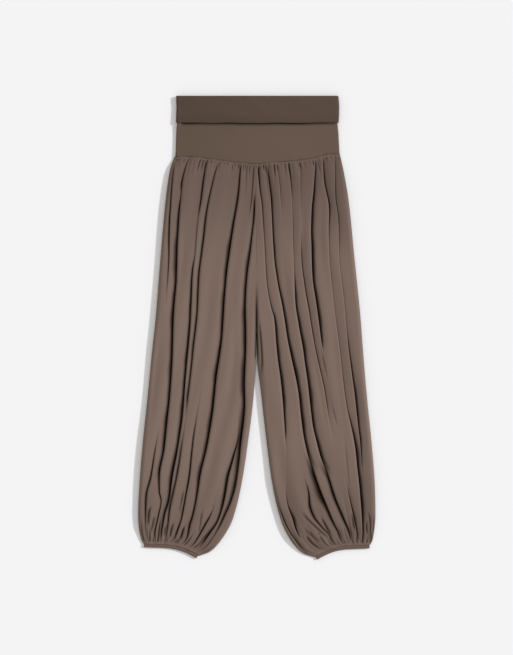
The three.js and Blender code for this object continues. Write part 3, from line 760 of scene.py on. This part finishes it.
def makeFront(name, leg, p, seed):
    # height = level + (crown - level) times a quarter ellipse from each free edge, less the folds and creases
    paths, share, down, width = legGrid(leg, p)
    ends, opened = clearOfEnds(down, p["ends"]), clearOfEnds(down, p["opened"])
    level = mix(p["endLevel"], p["level"], ends)
    drop, lap, paintedShade = foldFields(paths, share, width, p)
    drop = drop * mix(p["endDrop"], 1, np.minimum(opened, p["openLeast"] + ends))
    small = endGathers(share, down, width, seed, p)
    fine = gathers(share, down, width, seed + 2, "waist", p, "finePuckers")
    fine += gathers(share, down, width, seed + 3, "cuff", p, "finePuckers")
    lone, lonePaintedShade = loneCreases(leg, share, down, width, p)

    inward = (1 - share) * width  # distance from the centre seam, or from the inner edge below it
    apart = smooth(*p["parting"], down)
    crotch = np.exp(-((down - p["crotch"]) / p["crotchReach"]) ** 2)
    outer = rise(share * width, p["edge"])
    inner = rise(inward, mix(p["edge"], p["crotchEdge"], crotch))
    seam = mix(mix(p["seamDip"], 1.0, smooth(0, p["seamReach"], inward)), inner, apart)
    closed = mix(smooth(0, p["seamShut"], inward), 1, apart)
    across, along = p["domeWaves"]
    top = mix(p["seamCrown"], p["crown"], ends) + p["dome"] * slowWaves(share * across, down * along, seed + 4)
    z = level + (top - level) * outer * seam
    z = z - (drop + (small + fine + lone) * seam) * outer * closed
    z = np.maximum(z, mix(p["endLowest"], p["lowest"], ends) * np.minimum(outer * seam * 3, 1))
    z = np.where(share <= 0, level + p["edgeLift"], z)
    held = smooth(0, p["held"], np.minimum(share, 1 - share) * width)
    moved = share + lap * held * mix(p["endLap"], 1, opened) / width
    x, y = legPlace(leg, np.clip(moved, 0, 1), down)

    # fold: painted shade in the folds, creases, gathers and puckers, and along the end of the centre seam. near:
    # painted shade that darkens the cloth next to the waist and the cuff.
    seamEndShade, shades, tone = p["seamEndShade"], p["shades"], p["shadeReach"]
    between = np.exp(-(inward / seamEndShade["wide"]) ** 2) * smooth(*seamEndShade["from"], down) * (1 - smooth(*seamEndShade["to"], down))
    fold = np.maximum(paintedShade * opened, shades["seamEndShade"] * between)
    fold = np.maximum(fold, shades["crease"] * lonePaintedShade)
    fold = np.maximum(fold, shades["gather"] * smooth(*p["gatherShadeDepths"], small))
    fold = np.maximum(fold, shades["pucker"] * smooth(*p["puckerShadeDepths"], fine)) * shades["all"]
    near = 1 - smooth(0, tone["waist"], down) + leg["cuffShade"] * smooth(*tone["cuff"], down)
    uv = (share * p["pattern"][0], down * p["pattern"][1])
    return gridPiece(name, x, y, z, uv, {"fold": fold, "near": near}, crepe, p["thick"], flip=leg["side"] < 0)


def makeBack(name, leg, p, seed):
    # the folds pressed flat against the surface: bands at height 0, folds rising between them, edges curled up
    paths, share, down, width = legGrid(leg, p)
    ends = clearOfEnds(down, p["ends"])
    drop, lap, paintedShade = foldFields(paths, share, width, p)
    small = endGathers(share, down, width, seed, p)
    curl = 1 - rise(share * width, p["edge"])
    far = (1 - rise((1 - share) * width, p["edge"])) * smooth(*p["parting"], down)
    inside = (1 - curl) * (1 - far)
    rising = np.minimum(drop + p["gatherShare"] * small, p["highest"])
    z = mix(p["endLevel"], p["level"], ends) * np.maximum(curl, far) + rising * inside * mix(p["endDrop"], 1, ends)
    moved = share + p["lapShare"] * lap * inside * mix(p["endLap"], 1, ends) / width
    x, y = legPlace(leg, np.clip(moved, 0, 1), down)
    # painted shade in the folds and gathers, and next to the waist and the cuff, as on the front
    shades, tone = p["shades"], p["shadeReach"]
    fold = np.maximum(paintedShade, shades["gather"] * smooth(*p["gatherShadeDepths"], small))
    fold = fold * mix(p["endDrop"], 1, ends) * shades["all"]
    near = 1 - smooth(0, tone["waist"], down) + p["cuffShade"] * smooth(*tone["cuff"], down)
    uv = (share * p["pattern"][0], down * p["pattern"][1])
    return gridPiece(name, x, y, z, uv, {"fold": fold, "near": near}, crepe, p["thick"], flip=leg["side"] > 0)


for name, seed in (("right", 41), ("left", 77)):
    front = makeFront(f"front_{name}", legs[name], legLook, seed)
    back = makeBack(f"back_{name}", backLegs[name], backLook, seed + 9)
    for piece, node in ((front, f"leg_front_{name}"), (back, f"leg_back_{name}")):
        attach(piece, "root")
        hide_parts(node)
print("legs made")


# Waistband: each half rises from the waist seam, turns over at the top and hangs down outside as a flap
bandLook = {
    "top": 510.0,
    "topRoom": 0.9,
    "flapEdge": 450.6,
    "dip": 1.0,  # of the flap's edge in the middle
    "dipWidth": 370,
    "edgeWaver": 0.5,
    "near": 2.3,  # the inner layer's distance from the middle of the flat tube
    "far": 3.7,  # and the outer layer's
    "thick": 1.0,
    "seamEnds": (-177.1, 182.1),  # x of the waist seam at the two sides
    "seamGap": 0.05,
    "sideGap": 0.15,  # from the middle of the side seam
    "sides": {
        "y": [340, 392, 422, 449, 480, 510],
        "right": [-180, -177.5, -176.6, -176.3, -176.2, -176],
        "left": [185, 182, 180.4, 179.8, 181.2, 179.6],
    },
    "levels": (2.9, 4.3),  # height of the tube's middle next to the waist seam and above the flap's edge
    "levelReach": 26,
    "round": 0.03,  # share of the way across in which the side turns
    "rows": {"low": 14, "rise": 60, "turn": 11, "flap": 34},  # of the mesh
    "lowRows": 0.14,  # share of the height that the low rows take
    "columns": {"side": 9, "flat": 150},
    "knots": {"count": 44, "wide": (1.8, 3.2), "reach": (4, 13), "depth": (0.15, 0.55), "paintedShade": 0.15},
    "flapLift": 0.9,  # how far the flap stands off next to its edge
    "longWaves": {"height": 0.8, "across": 2.4, "along": 200},
    "shortWaves": {"height": 0.35, "across": 6, "along": 90},
    "waved": {"share": 0.8, "lift": 0.4, "inner": 0.4},  # inner: share of the flap's waves in the inner layer
    "flapShadow": {  # the painted shadow next to the flap's edge, on the layer below it
        "wide": 4.2,
        "above": 8,
        "across": [0, 0.07, 0.2, 0.32, 0.5, 0.68, 0.8, 0.92, 1],
        "paintedShade": [0.9, 1.0, 0.72, 0.9, 0.85, 1.0, 0.9, 0.75, 0.5],
    },
    "paintedDim": (0.7, 0.6),  # how far painted shade dims the colour towards the wearer's right, and towards the flap's edge
    "width": 360,
    "pattern": 362.0,
}


def bandSurface(face, p, seed):
    # profile along the height: up the inner layer, a half circle over the top, down the outer layer.
    # Across, the two ends follow a half circle about the side seam, from the middle of the flat tube.
    edge = np.sin(np.linspace(0, math.pi / 2, p["columns"]["side"])) * p["round"]
    flat = np.linspace(p["round"], 1 - p["round"], p["columns"]["flat"])[1:-1]
    share = np.concatenate([edge, flat, (1 - edge)[::-1]])[None, :]
    across = np.clip((share - p["round"]) / (1 - 2 * p["round"]), 0, 1)
    seamX = mix(*p["seamEnds"], across)
    seamY = through(waistSeam["x"], waistSeam["y"], seamX) + p["seamGap"]
    bend = (p["far"] - p["near"]) / 2
    foldY = p["top"] - bend - p["topRoom"]
    edgeY = p["flapEdge"] - p["dip"] * np.cos(np.pi * seamX / p["dipWidth"])
    edgeY = edgeY + p["edgeWaver"] * slowWaves(across * 3, 0 * across, seed)
    rows, low = p["rows"], p["lowRows"]
    up = np.concatenate([np.linspace(0, low, rows["low"]), np.linspace(low, 1, rows["rise"])[1:]])[:, None]
    turn = np.linspace(0, math.pi, rows["turn"])[1:-1][:, None]
    fall = np.linspace(1, 0, rows["flap"])[:, None]
    one = np.ones_like(share)
    y = np.concatenate([mix(seamY, foldY, up), foldY + bend * np.sin(turn) * one, mix(edgeY, foldY, fall)])
    away = np.concatenate([
        p["near"] * np.ones_like(up) * one,
        (p["near"] + bend - bend * np.cos(turn)) * one,
        p["far"] * np.ones_like(fall) * one,
    ])
    part = np.concatenate([up * 0, turn * 0 + 0.5, fall * 0 + 1]) * one  # 0 inner layer, 0.5 turn, 1 flap
    inner, flap = part < 0.25, part > 0.75
    height = np.concatenate([up, turn * 0 + 1, fall]) * one
    across = across * np.ones_like(y)

    # small puckers above the waist seam, depth * exp(-(distance / wide)^2), and slow waves over the rest
    seamDistance = np.maximum(y - seamY, 0)
    pucker = np.zeros_like(y)
    knots, draw = p["knots"], np.random.default_rng(seed + 5)
    for k in range(knots["count"]):
        way = (k + draw.uniform(0.2, 0.8)) / knots["count"]
        reach = draw.uniform(*knots["reach"])
        deep = draw.uniform(*knots["depth"])
        bump = deep * np.exp(-((across - way) * p["width"] / draw.uniform(*knots["wide"])) ** 2)
        pucker += bump * (1 - smooth(0.2 * reach, reach, seamDistance))
    wave = 0
    for k, form in enumerate((p["longWaves"], p["shortWaves"])):
        wave = wave + form["height"] * slowWaves(across * form["across"], y / form["along"], seed + 1 + k)
    waved = (wave * p["waved"]["share"] + p["waved"]["lift"]) * np.where(flap, 1, p["waved"]["inner"])
    lifted = np.where(flap, p["flapLift"] * (1 - smooth(0, 0.5, height)), 0.0)
    front = 1.0 if face > 0 else 0.0
    away = away + front * (lifted + waved - np.where(inner, pucker, 0))

    # the tube's middle lies level with the legs next to the seam, and higher above
    edgeLow = p["flapEdge"] - p["dip"]
    level = mix(*p["levels"], smooth(edgeLow - p["levelReach"], edgeLow, y))
    clear = np.arcsin(p["sideGap"] / p["far"])
    angle = mix(clear, math.pi / 2, np.clip(np.minimum(share, 1 - share) / p["round"], 0, 1))
    right = through(p["sides"]["y"], p["sides"]["right"], y) + level
    left = through(p["sides"]["y"], p["sides"]["left"], y) - level
    centre = mix(right, left, across)
    x = centre + np.where(share < 0.5, -1, 1) * away * np.cos(angle)
    x = np.where((share > p["round"]) & (share < 1 - p["round"]), centre, x)
    z = level + face * away * np.sin(angle)

    turned = smooth(0.3, 0.7, part)
    # painted shadow on the layer below the flap's edge, painted shade on the puckers above the waist seam, and
    # painted shade towards the wearer's right and the flap's edge
    line = p["flapShadow"]
    below = np.where(inner, np.exp(-(np.minimum(y - edgeY, 0) / line["wide"]) ** 2) * (y < edgeY + line["above"]), 0)
    ends = smooth(0.012, 0.03, across) * (1 - smooth(0.985, 1.0, across))
    shade = through(line["across"], line["paintedShade"], across) * below * ends * front
    fold = np.clip(shade + knots["paintedShade"] * pucker * front, 0, 1)
    shadeAcross, shadeDown = p["paintedDim"]
    near = shadeAcross * (1 - smooth(0, 0.75, across)) + np.where(flap, shadeDown * (1 - smooth(0, 0.4, height)), 0)
    uv = (across * p["pattern"], np.where(flap, 2 * p["top"] - y, y))
    return x, y, z, uv, {"fold": fold, "turned": turned, "near": np.clip(near, 0, 1)}


for name, face, seed in (("band_front", 1, 5), ("band_back", -1, 23)):
    x, y, z, uv, fields = bandSurface(face, bandLook, seed)
    piece = gridPiece(name, x, y, z, uv, fields, jersey, bandLook["thick"], flip=face < 0)
    piece.modifiers["wall"].offset = 0
    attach(piece, "root")
    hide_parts(name.replace("band", "waistband"))
print("waistband made")


# Cuffs: a flattened ring of gathered elastic at each ankle
cuffLook = {
    "tall": 7.4,
    "gap": 0.15,  # from the leg's edge
    "level": 2.0,  # height of the ring's middle, and how far its lower side lies from it
    "rise": (0.6, 0.6),  # how much further the upper side lies, and what the middle of the binding adds to that
    "endRoom": 2.4,
    "thick": 1.2,
    "ribs": 34,
    "rib": 0.45,
    "ribShade": 0.5,
    "columns": 150,
}


def makeCuff(name, leg, p, seed):
    # a loop along the laid curve on top, a half circle at its end, and back below; ribs = rib * cos(count * way)
    outline = leg["outline"]
    ax, ay, bx, by = (outline[c][-1] for c in ("outX", "outY", "inX", "inY"))
    length = math.hypot(bx - ax, by - ay)
    near = (p["level"] + p["endRoom"]) / length
    run = np.linspace(near, 1 - near, p["columns"])
    turn = np.linspace(0, math.pi, 13)[1:-1]
    share = np.concatenate([run, turn * 0 + 1 - near, run[::-1], turn * 0 + near])
    up = np.concatenate([run * 0 + 1, np.cos(turn), run * 0 - 1, -np.cos(turn)])
    ahead = np.concatenate([run * 0, np.sin(turn), run * 0, -np.sin(turn)])
    fall = np.linspace(0, 1, 13)[:, None]

    def line(s):
        return mix(ax, bx, s), mix(ay, by, s) + cuffBend(s)

    x0, y0 = line(share)
    x1, y1 = line(share + 0.01)
    x2, y2 = line(share - 0.01)
    fx, fy = x1 - x2, y1 - y2
    size = np.hypot(fx, fy)
    fx, fy = fx / size, fy / size  # along the ring, and hx, hy down the leg
    hx, hy = -leg["side"] * fy, leg["side"] * fx
    ribs = p["rib"] * (np.cos(2 * np.pi * p["ribs"] * share + 2 * np.sin(9 * share + seed)) * 0.5 - 0.5)
    top = np.clip(up, 0, 1)
    wide = p["level"] + top * (p["rise"][0] + p["rise"][1] * np.sin(np.pi * fall) + ribs)
    reach = p["gap"] + p["tall"] * fall
    x = x0 + hx * reach + fx * p["level"] * ahead
    y = y0 + hy * reach + fy * p["level"] * ahead
    z = p["level"] + up * np.where(up > 0, wide, p["level"])
    # painted shade between the ribs
    fold = np.clip(-ribs * top * p["ribShade"], 0, 1) * np.ones_like(fall)
    uv = (share * length * np.ones_like(fall), reach * np.ones_like(x))
    fields = {"fold": fold, "turned": fold * 0, "near": fold * 0}
    return gridPiece(name, x, y, z, uv, fields, cuffCloth, p["thick"], ring=True, flip=leg["side"] < 0)


for name, seed in (("right", 3), ("left", 8)):
    piece = makeCuff(f"ankle_{name}", legs[name], cuffLook, seed)
    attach(piece, "root")
    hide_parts(f"cuff_{name}")
print("cuffs made")
